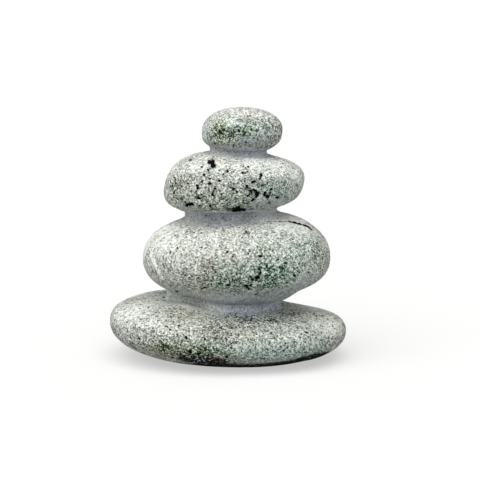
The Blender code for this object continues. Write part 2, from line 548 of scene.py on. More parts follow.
def graniteMaterial(name, look):
    material, graph = newMaterial(name)
    spot = graph.add("ShaderNodeTexCoord", None, None, "Object") / mm
    place = spot + look["offset"]  # a grain of its own for each stone
    warp = graph.noise(place, 2.0, 1.0, 0.5, 1.7, "Color")
    bent = place + (warp - (0.5, 0.5, 0.5)) * 1.0
    fine = graph.cells(bent, look["fineGrain"], 5.3)
    tone = channel(graph, fine, "Red") - 0.5
    warmth = channel(graph, fine, "Green")
    glint = channel(graph, fine, "Blue")
    crystal = graph.cells(bent, look["grain"])
    bigTone = channel(graph, crystal, "Red") - 0.5
    flake = graph.cells(bent, look["flakeSpacing"], 11.0)
    flakeFar = graph.cells(bent, look["flakeSpacing"], 11.0, "F1", "Distance")
    flakeSize = channel(graph, flake, "Red")
    cluster = graph.noise(place, look["clusterWidth"], 3.0, 0.55, 2.2) - 0.5
    cloud = graph.noise(place, look["cloudWidth"], 2.0, 0.5, 6.4) - 0.5
    dust = graph.noise(place, look["dustWidth"], 2.0, 0.6, 4.4) - 0.5

    green, cool, brown, bloom, dull, damp, pale, smear, soot, specks = (
        attribute(graph, name)
        for name in ("green", "cool", "brown", "bloom", "dull", "damp", "pale", "smear", "soot", "specks")
    )

    ragged = cluster * 1.5 + tone * 0.4 + bigTone * 0.4
    greenCover = (green + ragged * green).rise(0.05, 0.95)
    coolCover = (cool + ragged * cool * 0.6).rise(0.05, 0.95)
    speckCover = (specks + ragged * specks * 0.7).rise(0.05, 0.90)
    # near black on the darker grains: painted shadow along the base's lower front edge and painted shade near
    # the necks, and a darkening round the pit clusters
    sootAndShadeCover = (soot + ragged * soot.rise(0.0, 0.3)).rise(0.35, 0.75)
    brownCover = (brown + ragged * brown).rise(0.10, 0.95)
    # painted light: patches made paler where the stones lie under an overhang or turn away from the light
    paintedLightCover = (bloom + ragged * bloom * 0.6).rise(0.10, 0.95)
    # darker, faintly pink patches; where they lie low on a stone or under an overhang, as along the top stone's
    # foot, they are painted shade
    dullAndShadeCover = (dull + ragged * dull * 0.6).rise(0.10, 0.8)
    # the painted shadow round the foot, near black
    underShadowCover = (damp + (tone * 1.2 + bigTone) * damp.rise(0.0, 0.15)).rise(0.40, 0.60)

    contrast = look["contrast"] * (1.0 - paintedLightCover * 0.30 + speckCover * 0.15)
    shade = look["tone"] + (tone + bigTone * look["bigGrain"] + dust * look["dustGrain"]) * contrast
    shade = shade + cluster * look["cluster"] + cloud * look["cloud"]
    shade = shade + paintedLightCover * look["paintedLightLift"] + pale * look["paleLift"]
    shade = shade - greenCover * look["greenDepth"] - brownCover * look["brownDepth"]
    shade = shade - dullAndShadeCover * look["dullAndShadeDepth"] + greenCover * (tone + bigTone) * 0.35 - speckCover * 0.04
    granite = graph.add("ShaderNodeValToRGB", {"stops": look["stops"]}, {"Fac": shade}, "Color")
    granite = graph.mix(warmth.rise(0.6, 0.95) * 0.4, granite, look["warmTint"], "MULTIPLY")
    for cover, tint in ((greenCover, look["greenTint"]), (coolCover, look["coolTint"])):
        depth = graph.mix(shade.rise(0.25, 0.95), tint, tuple(1.0 - (1.0 - part) * 0.35 for part in tint))
        granite = graph.mix(cover, granite, depth, "MULTIPLY")
    granite = graph.mix(brownCover * 0.9, granite, look["brownTint"], "MULTIPLY")
    granite = graph.mix(dullAndShadeCover * 0.8, granite, look["dullAndShadeTint"], "MULTIPLY")
    flakeReach = flakeFar / (0.10 + flakeSize * flakeSize * look["flakeSize"])
    isFlake = channel(graph, flake, "Green").fall(look["flakeShare"] - 0.02, look["flakeShare"] + 0.02)
    isSpark = (channel(graph, flake, "Green") + speckCover * 0.12).rise(0.72, 0.74)
    granite = graph.mix(flakeReach.fall(0.80, 1.15) * isFlake * 0.92, granite, look["flakeColour"])
    streak = bent * (1.0, 0.5, 1.0)  # specks are drawn out front to back
    speck = graph.cells(streak, look["speckSpacing"], 23.0)
    speckSize = 0.24 + channel(graph, speck, "Red") * 0.28
    speckFar = graph.cells(streak, look["speckSpacing"], 23.0, "F1", "Distance") / speckSize
    isSpeck = (channel(graph, speck, "Green") - speckCover * 0.55).fall(-0.02, 0.02)
    isSpeck = isSpeck * speckCover.rise(0.05, 0.3)
    granite = graph.mix(sootAndShadeCover * (tone + bigTone).fall(0.38, 0.75), granite, look["sootAndShadeColour"])
    granite = graph.mix(underShadowCover, granite, look["underShadowColour"])
    glitter = flakeReach.fall(0.60, 1.10) * isSpark * (1.0 - underShadowCover * 0.95)
    granite = graph.mix(glitter * 0.75, granite, look["sparkColour"])

    film = (smear + (tone * 0.5 + bigTone * 0.4 + cluster * 0.7) * smear).rise(0.15, 0.90)
    colour = graph.mix(film * look["filmStrength"], granite, cementColour(graph, spot, look["sideShadeAndTint"]))
    speckled = speckFar.fall(0.80, 1.15) * isSpeck * (1.0 - sootAndShadeCover * 0.8) * (0.92 - film * 0.3)
    colour = graph.mix(speckled, colour, look["speckColour"])
    reach = pitReach(graph, place, 0.8)
    # painted shade in the pits and cracks: a dark rim and a near-black floor
    colour = graph.mix(reach.fall(1.0, 1.9) * 0.28, colour, look["rimShadeColour"])
    colour = graph.mix(reach.fall(0.85, 1.08) * look["pitShade"], colour, look["pitShadeColour"])

    roughness = look["roughness"] - glint.rise(0.88, 0.97) * 0.4 * (1.0 - film)
    ridges = graph.cells(bent, look["fineGrain"], 5.3, "F1", "Distance")
    height = (0.5 - ridges) * 0.8 + tone * 0.4 + bigTone * 0.4 + dust * 0.5
    height = height * (1.0 - film * 0.6) - reach.fall(0.7, 1.2) * 1.5
    finishMaterial(graph, colour, roughness, height, look["bump"] * mm)
    return material


def mortarMaterial(bed):
    material, graph = newMaterial(bed["node"] + " mortar")
    place = graph.add("ShaderNodeTexCoord", None, None, "Object") / mm
    colour = cementColour(graph, place, bed["sideShadeAndTint"])
    # painted light: the collar's lower half, which faces up, made paler
    colour = graph.mix(attribute(graph, "foot"), colour, bed["footLightTint"], "MULTIPLY")
    # painted shade: a dark line along the top of the collar, under the stone above
    crease = attribute(graph, "crease") * bed["crease"]
    colour = graph.mix(crease, colour, bed["creaseShadeColour"])
    reach = pitReach(graph, place, 0.7)
    # painted shade in the mortar's pits
    colour = graph.mix(reach.fall(0.8, 1.15) * bed["pitShade"], colour, bed["pitShadeColour"])
    grit = graph.noise(place, 0.9, 3.0, 0.65, 2.0)
    height = grit + graph.noise(place, 4.0, 2.0, 0.5, 5.0) * 0.8 - reach.fall(0.7, 1.2)
    finishMaterial(graph, colour, bed["roughness"], height, bed["bump"] * mm)
    return material


# Lengths are in mm. This is what the four pebbles share, and each one's own dictionary changes some of it.
graniteLook = {
    "stops": [  # from the darkest grain to the palest
        (0.00, (0.024, 0.026, 0.023)),
        (0.16, (0.080, 0.088, 0.078)),
        (0.36, (0.200, 0.218, 0.192)),
        (0.58, (0.355, 0.378, 0.342)),
        (0.80, (0.530, 0.552, 0.510)),
        (1.00, (0.760, 0.775, 0.740)),
    ],
    "tone": 0.57,  # where on the stops a middling grain falls
    "contrast": 0.80,
    "fineGrain": 1.15,  # widths of the two grains
    "grain": 2.1,
    "bigGrain": 0.42,  # how much the larger grain, the dust and so on change the tone
    "dustGrain": 0.9,
    "dustWidth": 0.8,
    "cluster": 0.26,
    "clusterWidth": 8.0,
    "cloud": 0.22,
    "cloudWidth": 34.0,
    "warmTint": (1.0, 0.95, 0.86),
    "flakeSpacing": 2.9,  # black flakes and bright ones
    "flakeSize": 0.28,
    "flakeShare": 0.36,
    "flakeColour": (0.022, 0.026, 0.023),
    "sparkColour": (0.86, 0.87, 0.83),
    "speckSpacing": 1.9,
    "speckColour": (0.022, 0.028, 0.024),
    "greenDepth": 0.10,
    "greenTint": (0.72, 0.93, 0.66),
    "coolTint": (0.66, 0.86, 0.84),
    "brownDepth": 0.10,
    "brownTint": (0.98, 0.90, 0.74),
    # how far the dull patches, partly painted shade, darken the tone
    "dullAndShadeDepth": 0.17,
    "dullAndShadeTint": (1.0, 0.97, 0.95),
    # how far the painted light lifts the tone
    "paintedLightLift": 0.23,
    "paleLift": 0.32,
    # near black, for the painted shadow and the darkened pit clusters
    "sootAndShadeColour": (0.012, 0.010, 0.013),
    "underShadowColour": (0.004, 0.004, 0.004),
    "filmStrength": 0.9,  # mortar smeared over the stone
    "smearThickness": 0.5,
    "lipThickness": 0.0,
    # tints that multiply the mortar film on the left, middle and right: colour, and painted light and shade
    "sideShadeAndTint": {
        "left": (1.0, 0.99, 0.93),
        "middle": (1.0, 1.0, 1.0),
        "right": (1.0, 1.0, 1.0),
        "spans": (-34.0, 16.0, 20.0, 50.0),  # left fades out from x to x, right comes in from x to x
    },
    "roughness": 0.92,
    "bump": 0.30,
    "lump": (0.9, 28.0),  # height and width
    "grainRelief": (0.30, 2.2),
    "pitSpacing": 6.5,  # small pits strewn all over
    "pitDensity": 9000.0,
    "pitSize": (0.45, 1.1),
    "pitDepth": 0.9,
    "pitScale": 1.25,
    "pitStretch": 1.4,
    "pitShade": 1.0,
    # painted shade on the pit floors and rims
    "pitShadeColour": (0.003, 0.003, 0.003),
    "rimShadeColour": (0.05, 0.055, 0.05),
    "cracks": [],
    "veins": [],
    "dents": [],
    "damp": [(0, -9)],  # the painted shadow at the foot stays under the ground, so none shows
}

# Each mark in the four dictionaries below starts with its place, x, y and z. Then come:
#   pits        half width, half height
#   pitFields   width, height, count, least size, most size
#   patches     width, height, strength (green, cool, brown, soot and painted shade, mortar film, painted light, dull patches and painted shade, specks)
#   dents       width, height, depth
# A vein is a width, a height and a path, and the painted shadow round the foot is given as its height at each
# bearing from the front.
baseStone = {
    **graniteLook,
    "node": "base_stone",
    "bedBelow": None,
    "bedAbove": "lower_mortar_bed",
    "smear": (0.0, 4.0),  # how far mortar spreads from the bed below and the one above
    # painted light: the film by the neck is made paler, the left most, where the second stone shades it
    "sideShadeAndTint": {
        "left": (1.44, 1.41, 1.33),
        "middle": (1.12, 1.13, 1.17),
        "right": (1.12, 1.13, 1.17),
        "spans": (-34.0, 16.0, 20.0, 50.0),
    },
    "cells": (163, 149, 82),  # across, deep and tall
    "seed": 3,
    "offset": (12.0, 40.0, 7.0),
    "tone": 0.56,
    "pits": [
        (17, -69, 51, 1.1, 1.0), (66, -19, 49, 1.0, 1.3), (77, -75, 39, 1.1, 0.8),
        (23, -68, 50, 1.1, 0.9), (-40, -97, 39, 0.8, 1.1), (62, -28, 49, 1.0, 0.9),
        (42, -64, 49, 1.0, 0.8), (-103, -26, 53, 1.0, 1.0), (-28, -97, 22, 1.3, 1.6),
        (-1, -98, 19, 1.5, 1.4), (-36, -97, 24, 1.3, 2.0), (-42, -90, 18, 1.0, 1.7),
        (-54, -82, 15, 1.6, 1.0), (-65, 4, 58, 1.3, 1.3), (-64, -11, 58, 1.2, 1.2),
        (-71, -9, 58, 1.0, 1.1),
    ],
    "pitFields": [
        (76, -8, 49, 44, 34, 30, 0.5, 1.0), (26, -62, 51, 40, 10, 22, 0.5, 1.0),
        (-60, -80, 40, 50, 16, 16, 0.5, 0.9), (40, -92, 34, 60, 16, 22, 0.5, 0.8),
    ],
    "green": [(-28, -100, 24, 20, 9, 1.3), (-50, -92, 27, 28, 10, 0.8), (-14, -100, 36, 18, 9, 0.4)],
    "cool": [
        (36, -96, 24, 44, 11, 1.4), (84, -74, 28, 28, 11, 0.7), (30, -58, 52, 40, 8, 0.5),
        (60, -70, 44, 60, 30, 0.35),
    ],
    # painted shadow along the base's lower front edge, where the stone turns under
    "soot": [(-32, -91, 12, 15, 5, 2.0), (-13, -94, 11, 13, 4, 2.0)],
    "film": [(-46, -36, 56, 16, 5, 0.45), (-61, -12, 58, 8, 5, 0.35)],
    "dents": [(62, 36, 49, 36, 16, 5.4), (-90, 20, 57, 26, 14, 1.4), (-46, -44, 56, 20, 14, -4.5)],
    "specks": [
        (74, -20, 49, 34, 24, 1.3), (26, -60, 51, 40, 12, 1.2), (-18, -100, 26, 30, 9, 0.9),
        (50, -92, 32, 60, 12, 0.4), (-62, -88, 27, 34, 10, 0.5), (-62, -54, 50, 26, 12, 0.5),
    ],
    # painted shadow round the base's foot, highest at the front right where the stone turns under
    "damp": [
        (-180, 5), (-150, 9), (-120, 3), (-90, 2), (-60, 3), (-35, 5), (-24, 8), (-10, 11.5), (5, 10.5),
        (20, 9.5), (30, 10.5), (40, 13.5), (50, 17.5), (60, 15.5), (75, 8), (100, 3), (140, 10), (180, 5),
    ],
    "brown": [(-38, -60, 50, 30, 8, 0.4), (5, -100, 18, 20, 10, 0.4), (-64, -84, 24, 34, 9, 0.5)],
    # painted light on the base's top beside the neck, where the second stone shades it, and on its flanks and
    # lower front
    "bloom": [
        (-92, -40, 46, 34, 16, 1.0), (98, -36, 40, 34, 14, 1.0), (-60, -78, 46, 40, 8, 0.7),
        (60, -88, 30, 44, 9, 0.6), (10, -101, 30, 14, 8, 0.8), (-78, -26, 57, 26, 14, 1.4),
        (82, -4, 49, 30, 10, 1.2), (-62, -6, 58, 24, 8, 1.4),
    ],
    # darker patches; the one by the neck on the left is painted shade under the second stone
    "dull": [
        (-8, -92, 43, 42, 8, 0.85), (-62, -14, 57, 40, 6, 0.2), (-50, -88, 26, 26, 11, 1.2),
        (-90, -66, 22, 20, 8, 0.6), (-28, -98, 22, 18, 6, 1.0), (-46, -78, 41, 20, 9, 0.85),
    ],
    "veins": [(2.0, 0.4, [(-99, -60, 31), (-95, -66, 29), (-91, -70, 27)])],
}

secondStone = {
    **graniteLook,
    "node": "second_stone",
    "bedBelow": "lower_mortar_bed",
    "bedAbove": "middle_mortar_bed",
    "smear": (23.0, 5.0),
    "lipThickness": 4.0,
    # painted shade darkens the film in the middle, under the stone by the lower neck
    "sideShadeAndTint": {
        "left": (1.04, 1.03, 0.96),
        "middle": (0.88, 0.90, 0.95),
        "right": (1.00, 1.02, 1.06),
        "spans": (-34.0, 16.0, 28.0, 60.0),
    },
    "cells": (157, 138, 95),
    "seed": 8,
    "offset": (-30.0, 11.0, 90.0),
    "tone": 0.60,
    "contrast": 0.74,
    "greenTint": (0.56, 0.90, 0.70),
    "pits": [
        (29, -79, 94, 2.1, 1.7), (18, -77, 85, 2.2, 1.1), (1, -77, 86, 1.6, 1.1),
        (38, -78, 105, 0.9, 1.3), (32, -77, 115, 1.8, 1.0), (-22, -72, 83, 1.4, 0.9),
        (21, -74, 82, 1.0, 0.8), (56, -72, 107, 1.0, 0.8), (0, -76, 119, 1.0, 0.8),
        (28, -65, 75, 1.1, 0.7), (65, -67, 94, 0.9, 0.8), (49, -74, 111, 1.0, 0.7),
        (23, -77, 86, 0.8, 1.1), (32, -79, 99, 0.8, 1.1), (31, -79, 102, 1.1, 0.8),
        (18, -57, 136, 0.8, 1.0), (54, -73, 102, 0.8, 1.0), (54, -73, 95, 1.0, 0.7),
        (-50, -46, 75, 1.6, 1.1), (70, -24, 138, 1.1, 0.9), (83, -18, 132, 1.2, 1.0),
    ],
    "pitFields": [(30, -76, 92, 44, 12, 22, 0.5, 0.9), (-10, -74, 94, 60, 20, 16, 0.4, 0.8)],
    "cracks": [{
        "path": [
            (30, -39, 142), (42, -34, 143), (56, -29, 142), (62, -25, 142), (67, -25, 140), (76, -21, 138),
            (80, -19, 136), (84, -18, 133),
        ],
        "widths": [0.15, 0.3, 0.45, 0.8, 1.2, 1.5, 1.2, 0.4],  # one for each place on the path
        "unevenness": 0.28,
        "shortBeads": 1.25,  # radians for each mm
        "longBeads": 0.47,
        "step": 0.9,
        "shelf": 9.0,
    }],
    "veins": [(4.0, 0.9, [(-76, -36, 110), (-74, -42, 106), (-70, -49, 99), (-64, -53, 89)])],
    "dents": [(64, -20, 74, 28, 12, 1.7)],
    "green": [
        (42, -77, 94, 26, 16, 1.1), (10, -77, 92, 34, 14, 0.75), (60, -66, 108, 26, 18, 0.4),
        (84, -38, 110, 18, 22, 0.5), (36, -70, 122, 20, 10, 0.25),
    ],
    "cool": [(60, -60, 110, 50, 40, 0.40)],
    "film": [
        (74, -50, 93, 20, 12, 0.48), (86, -40, 102, 14, 10, 0.3), (-4, -72, 79, 44, 6, 0.45),
        (40, -24, 145, 16, 6, 0.4), (34, -66, 77, 18, 5, 0.7), (50, -60, 80, 16, 6, 0.8),
        (64, -52, 86, 14, 7, 0.8), (76, -42, 92, 12, 8, 0.7),
    ],
    # painted shade near the middle and lower necks
    "soot": [(17, -58, 135, 9, 6, 0.35), (12, -76, 84, 34, 4, 0.30)],
    "specks": [
        (36, -78, 93, 34, 13, 0.85), (-14, -76, 93, 32, 12, 0.8), (16, -60, 133, 14, 6, 0.7),
        (66, -62, 108, 24, 22, 0.45), (60, -14, 144, 26, 6, 0.2), (4, -72, 79, 44, 6, 0.8),
        (84, -36, 110, 16, 22, 0.6), (34, -75, 114, 20, 10, 0.5),
    ],
    "brown": [(-18, -78, 105, 9, 8, 0.45), (10, -60, 133, 18, 8, 0.3), (44, -69, 124, 8, 6, 0.3)],
    # painted light on the second stone's left shoulder and on the ledge in the third stone's shade
    "bloom": [
        (-60, -38, 126, 34, 26, 0.8), (-84, -8, 116, 14, 24, 1.6), (-62, -14, 136, 22, 16, 1.1),
        (58, -36, 138, 30, 8, 1.0), (0, -60, 130, 60, 14, 0.6), (60, -12, 144, 30, 8, 2.4),
        (68, -34, 133, 26, 12, 1.0),
    ],
    "dull": [(34, -28, 144, 20, 5, 0.4), (-24, -77, 92, 30, 12, 0.6), (-16, -78, 105, 14, 9, 0.9)],
}

thirdStone = {
    **graniteLook,
    "node": "third_stone",
    "bedBelow": "middle_mortar_bed",
    "bedAbove": "upper_mortar_bed",
    "smear": (5.0, 8.0),
    "lipThickness": 0.8,
    "cells": (151, 131, 81),
    "lump": (0.8, 22.0),
    "seed": 5,
    "offset": (60.0, -25.0, 33.0),
    "tone": 0.59,
    "contrast": 0.82,
    "bigGrain": 0.26,
    "cluster": 0.18,
    "pitScale": 1.24,
    "pits": [
        (29, -56, 173, 1.8, 2.1), (27, -57, 176, 1.6, 1.0), (25, -57, 177, 1.1, 0.9),
        (28, -56, 170, 1.0, 1.3), (22, -58, 176, 1.0, 0.9), (20, -58, 171, 1.1, 1.0),
        (25, -56, 167, 0.9, 1.5), (22, -57, 173, 0.7, 1.0), (39, -53, 170, 1.6, 1.2),
        (36, -54, 172, 0.9, 1.4), (42, -52, 173, 0.8, 1.2), (49, -46, 168, 2.0, 1.0),
        (-18, -36, 202, 1.4, 2.6), (-15, -37, 202, 1.9, 3.2), (-14, -43, 199, 2.3, 2.0),
        (-19, -47, 196, 1.1, 1.1), (-38, -46, 160, 2.6, 1.4), (-35, -48, 161, 1.5, 1.6),
        (-41, -44, 158, 1.2, 1.6), (26, -57, 185, 2.0, 1.1), (24, -57, 184, 1.1, 0.8),
        (43, -52, 177, 1.2, 0.8), (34, -55, 181, 1.5, 0.6), (-28, -53, 168, 1.6, 1.2),
        (33, -52, 191, 1.1, 1.4), (31, -53, 187, 0.7, 1.2), (19, -58, 181, 1.2, 0.8),
        (-15, -57, 172, 1.3, 1.2), (24, -45, 156, 1.3, 0.9), (41, -47, 162, 0.8, 0.8),
        (-25, -41, 197, 1.0, 0.9), (-29, -52, 178, 1.2, 1.3), (-23, -50, 191, 1.1, 1.2),
        (-8, -57, 186, 1.4, 1.0), (6, -59, 178, 1.2, 1.1), (11, -53, 159, 1.4, 1.0),
        (-17, -53, 160, 1.1, 1.4), (-55, -30, 177, 1.2, 1.2), (-12, -57, 178, 1.1, 1.0),
        (15, -53, 193, 1.1, 1.0), (-53, -34, 171, 1.1, 1.3), (9, -59, 175, 0.8, 1.2),
        (0, -52, 195, 1.0, 1.2), (-37, -21, 202, 1.6, 0.6), (11, -46, 156, 5.8, 2.2),
        (7, -47, 157, 2.4, 1.4), (9, -51, 159, 1.8, 0.8), (37, -54, 174, 1.2, 0.9),
        (40, -52, 169, 1.1, 1.0), (5, -50, 159, 1.2, 0.9),
    ],
    "pitFields": [
        (-22, -55, 176, 44, 20, 34, 0.4, 1.0), (22, -57, 178, 30, 16, 16, 0.4, 1.0),
        (-5, -50, 162, 60, 8, 18, 0.4, 0.9), (-52, -34, 176, 10, 16, 8, 0.4, 1.0),
    ],
    "green": [(-25, -52, 165, 40, 14, 0.45), (10, -54, 166, 26, 12, 0.5), (-53, -33, 178, 10, 8, 0.6)],
    "cool": [(40, -50, 172, 34, 20, 0.9), (60, -30, 176, 24, 20, 0.5), (20, -50, 160, 26, 8, 0.6)],
    "soot": [
        (26, -56, 173, 7, 6, 0.5), (38, -54, 171, 6, 4, 0.5), (-37, -47, 160, 7, 4, 0.5),
        (9, -47, 158, 12, 4, 1.0),
    ],
    "specks": [
        (-25, -54, 166, 34, 12, 0.5), (24, -56, 172, 26, 14, 0.5), (-52, -34, 175, 12, 14, 0.8),
        (52, -44, 178, 16, 14, 0.4), (-10, -50, 160, 40, 8, 0.5),
    ],
    "film": [(34, -50, 163, 14, 5, 0.7), (50, -42, 162, 16, 7, 0.85), (22, -44, 157, 20, 4, 0.8)],
    "brown": [(0, -50, 161, 20, 7, 0.4), (-10, -36, 203, 16, 4, 0.4)],
    # painted light on the third stone's shaded parts
    "bloom": [
        (-20, -40, 198, 40, 9, 0.8), (40, -36, 198, 34, 12, 1.0), (66, -26, 184, 18, 14, 0.8),
        (30, -54, 168, 10, 10, 0.7), (-58, -12, 194, 10, 10, 0.9),
    ],
    "dull": [(-34, -20, 203, 16, 6, 0.4), (-42, -42, 183, 14, 10, 0.8), (-46, -40, 170, 16, 10, 0.5)],
}

topStone = {
    **graniteLook,
    "node": "top_stone",
    "bedBelow": "upper_mortar_bed",
    "bedAbove": None,
    "smear": (9.0, 0.0),
    "lipThickness": 1.0,
    # painted shade darkens the film at the top stone's foot
    "sideShadeAndTint": {
        "left": (0.90, 0.89, 0.84),
        "middle": (0.88, 0.88, 0.88),
        "right": (0.90, 0.90, 0.90),
        "spans": (-16.0, 2.0, 18.0, 36.0),
    },
    "cells": (99, 92, 62),
    "lump": (0.5, 16.0),
    "seed": 12,
    "offset": (5.0, 71.0, -48.0),
    "grain": 1.9,
    "tone": 0.55,
    "pitScale": 1.1,
    "pitShade": 0.85,
    "pits": [
        (-8, -30, 231, 1.5, 1.5), (-3, -31, 233, 1.0, 1.1), (6, -34, 232, 0.8, 1.3),
        (17, -34, 231, 1.1, 0.8), (16, -35, 228, 1.1, 0.9), (18, -33, 221, 1.3, 0.8),
        (-13, -24, 218, 1.3, 0.9), (22, -24, 246, 0.8, 0.8), (-6, -31, 229, 0.9, 0.8),
    ],
    "pitFields": [(12, -33, 228, 36, 12, 22, 0.4, 0.8)],
    "green": [(-9, -29, 234, 13, 9, 1.0), (-6, -30, 225, 22, 7, 0.8), (18, -33, 232, 9, 7, 0.7)],
    "cool": [(24, -33, 229, 22, 11, 1.4), (16, -34, 238, 16, 6, 0.8)],
    "soot": [(-7, -30, 231, 6, 5, 0.4)],
    "specks": [(8, -34, 228, 26, 8, 0.7), (-10, -29, 230, 12, 8, 0.7)],
    "film": [(25, -30, 223, 20, 8, 0.75)],
    "brown": [(-10, -28, 236, 9, 7, 0.4)],
    # painted light on the top stone's shaded parts
    "bloom": [(14, -20, 249, 34, 8, 0.6), (3, -29, 240, 9, 6, 0.9), (-24, -16, 230, 9, 12, 0.8)],
    # the wide band along the top stone's foot is painted shade
    "dull": [(2, -33, 228, 22, 7, 0.6), (22, -29, 241, 12, 6, 0.7), (6, -27, 217, 44, 5, 1.0)],
}


def makePebble(look, tree):
    low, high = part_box(look["node"])
    seed = mergedCopy(look["node"])
    values = {
        "Cells Across": look["cells"][0],
        "Cells Deep": look["cells"][1],
        "Cells Tall": look["cells"][2],
        "Centre": tuple((low + high) / 2),
        "Reach": tuple((high - low) * 0.7),  # rays start outside the stone
        "Lump Height": look["lump"][0] * mm,
        "Lump Width": look["lump"][1] * mm,
        "Grain Height": look["grainRelief"][0] * mm,
        "Grain Width": look["grainRelief"][1] * mm,
        "Smear Below": look["smear"][0] * mm,
        "Smear Above": look["smear"][1] * mm,
        "Smear Thickness": look["smearThickness"] * mm,
        "Lip Thickness": look["lipThickness"] * mm,
        "Stone": graniteMaterial(look["node"] + " granite", look),
        **pitValues(look),
    }
    for side, bed in (("Bed Below", look["bedBelow"]), ("Bed Above", look["bedAbove"])):
        if bed:
            values[side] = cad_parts[bed]
    mesh = growSkin(seed, tree, values)
    placeMarks(mesh, look)
    return newPiece(look["node"] + "_finished", mesh)


def mortarCollarTree():  # a tube from stone to stone, flared at both ends and closed inside them
    graph, inputs = newGeometryTree("mortar collar", {
        "Int": ["Around", "Along", "Seed"],
        "Vector": ["Middle"],
        "Float": [
            "Half Width", "Half Depth", "Slope", "Fillet Above", "Fillet Below", "Fillet Left", "Flat Left",
            "Cap Above", "Cap Below", "Embed", "Reach", "Wobble", "Trowel Height", "Trowel Width",
            "Sand Height", "Sand Width", "Pit Depth", *pitSizes,
        ],
        "Object": ["Stone Above", "Stone Below"],
        "Material": ["Mortar"],
    })
    sheet = {"Size X": 1.0, "Size Y": 1.0, "Vertices X": inputs["Around"] + 1.0, "Vertices Y": inputs["Along"]}
    grid = graph.add("GeometryNodeMeshGrid", None, sheet, "Mesh")
    here = graph.add("GeometryNodeInputPosition")
    across = here.part("X")
    turn = (across + 0.5) * math.tau
    upwards = across.other("Y") * 2.0
    edge = 1.0 - 2.0 / (inputs["Along"] - 1.0)
    atPole = abs(upwards).over(edge + 0.0001)  # the sheet's first and last rows close the ends
    spread = (upwards / edge).most(-1.0).least(1.0)
    above = upwards.over(0.0)
    cosine, sine = turn.cosine(), turn.sine()
    ring = graph.add("ShaderNodeCombineXYZ", None, {"X": cosine, "Y": sine, "Z": inputs["Seed"] * 3.7})
    left = ((-cosine).most(0.0) * (-sine).most(0.0)).rise(0.05, 0.45)  # 1 at the front left
    unevenness = graph.noise(ring, 0.45, 2.0) - 0.5
    fillet = inputs["Fillet Below"] + (inputs["Fillet Above"] - inputs["Fillet Below"]) * above
    fillet = (fillet + inputs["Fillet Left"] * left) * (1.0 + unevenness * 1.4)
    outwards = fillet * (1.0 - (spread * (math.pi / 2)).cosine())
    wobble = unevenness * inputs["Wobble"] - inputs["Flat Left"] * left
    radiusX = (inputs["Half Width"] + wobble + outwards) * (1.0 - atPole)
    radiusY = (inputs["Half Depth"] + wobble + outwards) * (1.0 - atPole)
    level = graph.add("ShaderNodeCombineXYZ", None, {
        "X": cosine * radiusX,
        "Y": sine * radiusY,
        "Z": cosine * radiusX * inputs["Slope"],
    }) + inputs["Middle"]
    levelZ = level.part("Z")
    sides = []
    for name, heading in (("Stone Above", 1.0), ("Stone Below", -1.0)):
        ray = {
            "Target Geometry": graph.add("GeometryNodeObjectInfo", None, {"Object": inputs[name]}, "Geometry"),
            "Source Position": level,
            "Ray Direction": (0.0, 0.0, heading),
            "Ray Length": inputs["Reach"],
        }
        hit = graph.add("GeometryNodeRaycast", None, ray, "Hit Position")
        climbed = (hit.part("Z") - levelZ) * hit.other("Is Hit")  # a level that starts inside the stone stays
        sides.append(climbed + inputs["Embed"] * heading)
    climb = abs((spread * (math.pi / 2)).sine())
    cap = (inputs["Cap Above"] + inputs["Cap Below"]) * above - inputs["Cap Below"]
    height = (sides[1] + (sides[0] - sides[1]) * above) * climb * (1.0 - atPole) + cap * atPole
    placed = level + graph.add("ShaderNodeCombineXYZ", None, {"Z": height})
    body = graph.add("GeometryNodeSetPosition", None, {"Geometry": grid, "Position": placed})
    body = graph.add("GeometryNodeMergeByDistance", None, {"Geometry": body, "Distance": 0.002 * mm})
    normal = graph.add("GeometryNodeInputNormal", None, None, "Normal")
    place = here / mm
    body = store(graph, body, "open", (1.0 - climb).rise(0.0, 0.25))
    # where the painted shade line runs: along the collar's top, except at the left
    body = store(graph, body, "crease", above * climb.rise(0.84, 0.97) * (-cosine).fall(-0.1, 0.6))
    # 1 on the collar's lower half, where painted light makes it paler
    body = store(graph, body, "foot", ((height - sides[1]) / (sides[0] - sides[1])).fall(0.25, 0.75))
    body = store(graph, body, "dust", normal.part("Z").rise(0.1, 0.9))
    openness = named(graph, "open")
    trowel = (graph.noise(place, inputs["Trowel Width"], 2.0, 0.5, 2.5) - 0.5) * inputs["Trowel Height"]
    sand = (graph.noise(place, inputs["Sand Width"], 2.0, 0.6, 6.5) - 0.5) * inputs["Sand Height"]
    body = shift(graph, body, normal * ((trowel + sand) * openness))
    away, radius = scatterPits(graph, body, inputs, openness)
    body = store(graph, body, "pitAway", away, "FLOAT_VECTOR")
    body = store(graph, body, "pitSize", radius)
    body = store(graph, body, "pitFar", away.length() - 1.0 / radius)
    hole = named(graph, "pitAway", "FLOAT_VECTOR").length().fall(0.4, 1.2)
    body = shift(graph, body, normal * (hole * named(graph, "pitSize") * -inputs["Pit Depth"]))
    return closeTree(graph, body, inputs["Mortar"])


# This is what the three beds share.
bedLook = {
    "embed": 0.5,  # how far the ends sink into the stones
    "reach": 40.0,  # a stone further off isn't looked for
    "flatLeft": 0.0,
    "wobble": 2.4,
    "trowel": (0.7, 7.0),  # height and width of the marks
    "sand": (0.22, 1.4),
    "pitSpacing": 5.0,
    "pitDensity": 12000.0,
    "pitSize": (0.35, 1.1),
    "pitDepth": 0.8,
    "pitShade": 0.85,
    # painted shade in the mortar's pits
    "pitShadeColour": (0.030, 0.030, 0.032),
    # the colour of the painted shade line
    "creaseShadeColour": (0.06, 0.06, 0.065),
    "roughness": 0.93,
    "bump": 0.25,
}

